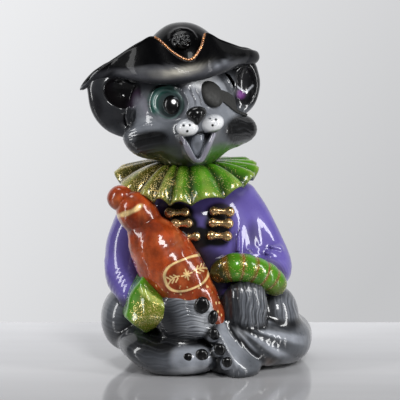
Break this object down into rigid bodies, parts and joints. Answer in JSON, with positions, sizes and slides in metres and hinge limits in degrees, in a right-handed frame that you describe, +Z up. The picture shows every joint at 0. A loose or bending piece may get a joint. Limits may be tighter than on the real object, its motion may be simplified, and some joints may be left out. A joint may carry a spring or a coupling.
{
  "type": "souvenir figurine",
  "caption": "Glazed ceramic money-box figurine: a seated cat in a cocked hat and pleated collar, holding a bottle, with a coin slot behind and a rubber bung in its floor.",
  "frame": {"origin": "on the table under the middle of the whole figurine, which is the middle of its bounding box", "axes": "+Z up; the cat faces -Y; +X is its left-hand side, which is the viewer's right"},
  "size_m": [0.1877, 0.1439, 0.2777],
  "materials": {
    "grey_glaze": "high-gloss glaze, sprayed light to dark grey",
    "white_glaze": "high-gloss glaze, off-white",
    "black_glaze": "high-gloss glaze, black",
    "hat_glaze": "high-gloss glaze, black sprayed over grey",
    "purple_glaze": "high-gloss glaze, purple with dark overspray",
    "green_glaze": "high-gloss glaze, green with gold glitter",
    "bottle_glaze": "high-gloss glaze, orange-brown",
    "gold_lustre": "metallic gold paint over glaze",
    "rubber": "matt moulded rubber"
  },
  "bodies": {
    "figurine": {"seat_shell": "grey_glaze", "jacket_shell": "purple_glaze", "head_shell": "grey_glaze", "hat_crown": "hat_glaze", "hat_brim": "hat_glaze", "hat_emblem": "hat_glaze", "hat_trim": "gold_lustre", "right_ear": "grey_glaze", "left_ear": "grey_glaze", "right_eye": "black_glaze", "eye_patch": "black_glaze", "patch_strap": "black_glaze", "nose": "black_glaze", "right_muzzle": "white_glaze", "left_muzzle": "white_glaze", "lower_jaw": "grey_glaze", "ruff_collar": "green_glaze", "right_sleeve": "purple_glaze", "left_sleeve": "purple_glaze", "right_cuff": "green_glaze", "left_cuff": "green_glaze", "right_hand": "grey_glaze", "left_hand": "grey_glaze", "right_knee": "grey_glaze", "left_knee": "grey_glaze", "right_foot": "grey_glaze", "left_foot": "grey_glaze", "tail": "grey_glaze", "right_hand_claw_1": "black_glaze", "right_hand_claw_2": "black_glaze", "left_foot_claw_1": "black_glaze", "left_foot_claw_2": "black_glaze", "left_foot_claw_3": "black_glaze", "right_foot_claw_1": "black_glaze", "right_foot_claw_2": "black_glaze", "bottle": "bottle_glaze", "bottle_stopper": "bottle_glaze", "bottle_label": "gold_lustre", "left_clasp_top": "gold_lustre", "left_clasp_middle": "gold_lustre", "left_clasp_bottom": "gold_lustre", "right_clasp_top": "gold_lustre", "right_clasp_middle": "gold_lustre", "right_clasp_bottom": "gold_lustre"},
    "bung": {"bung": "rubber"}
  },
  "joints": [
    {"name": "bung_pull", "type": "slide", "parent": "figurine", "child": "bung", "axis": [0, 0, -1], "range_m": [0, 0.03]}
  ]
}
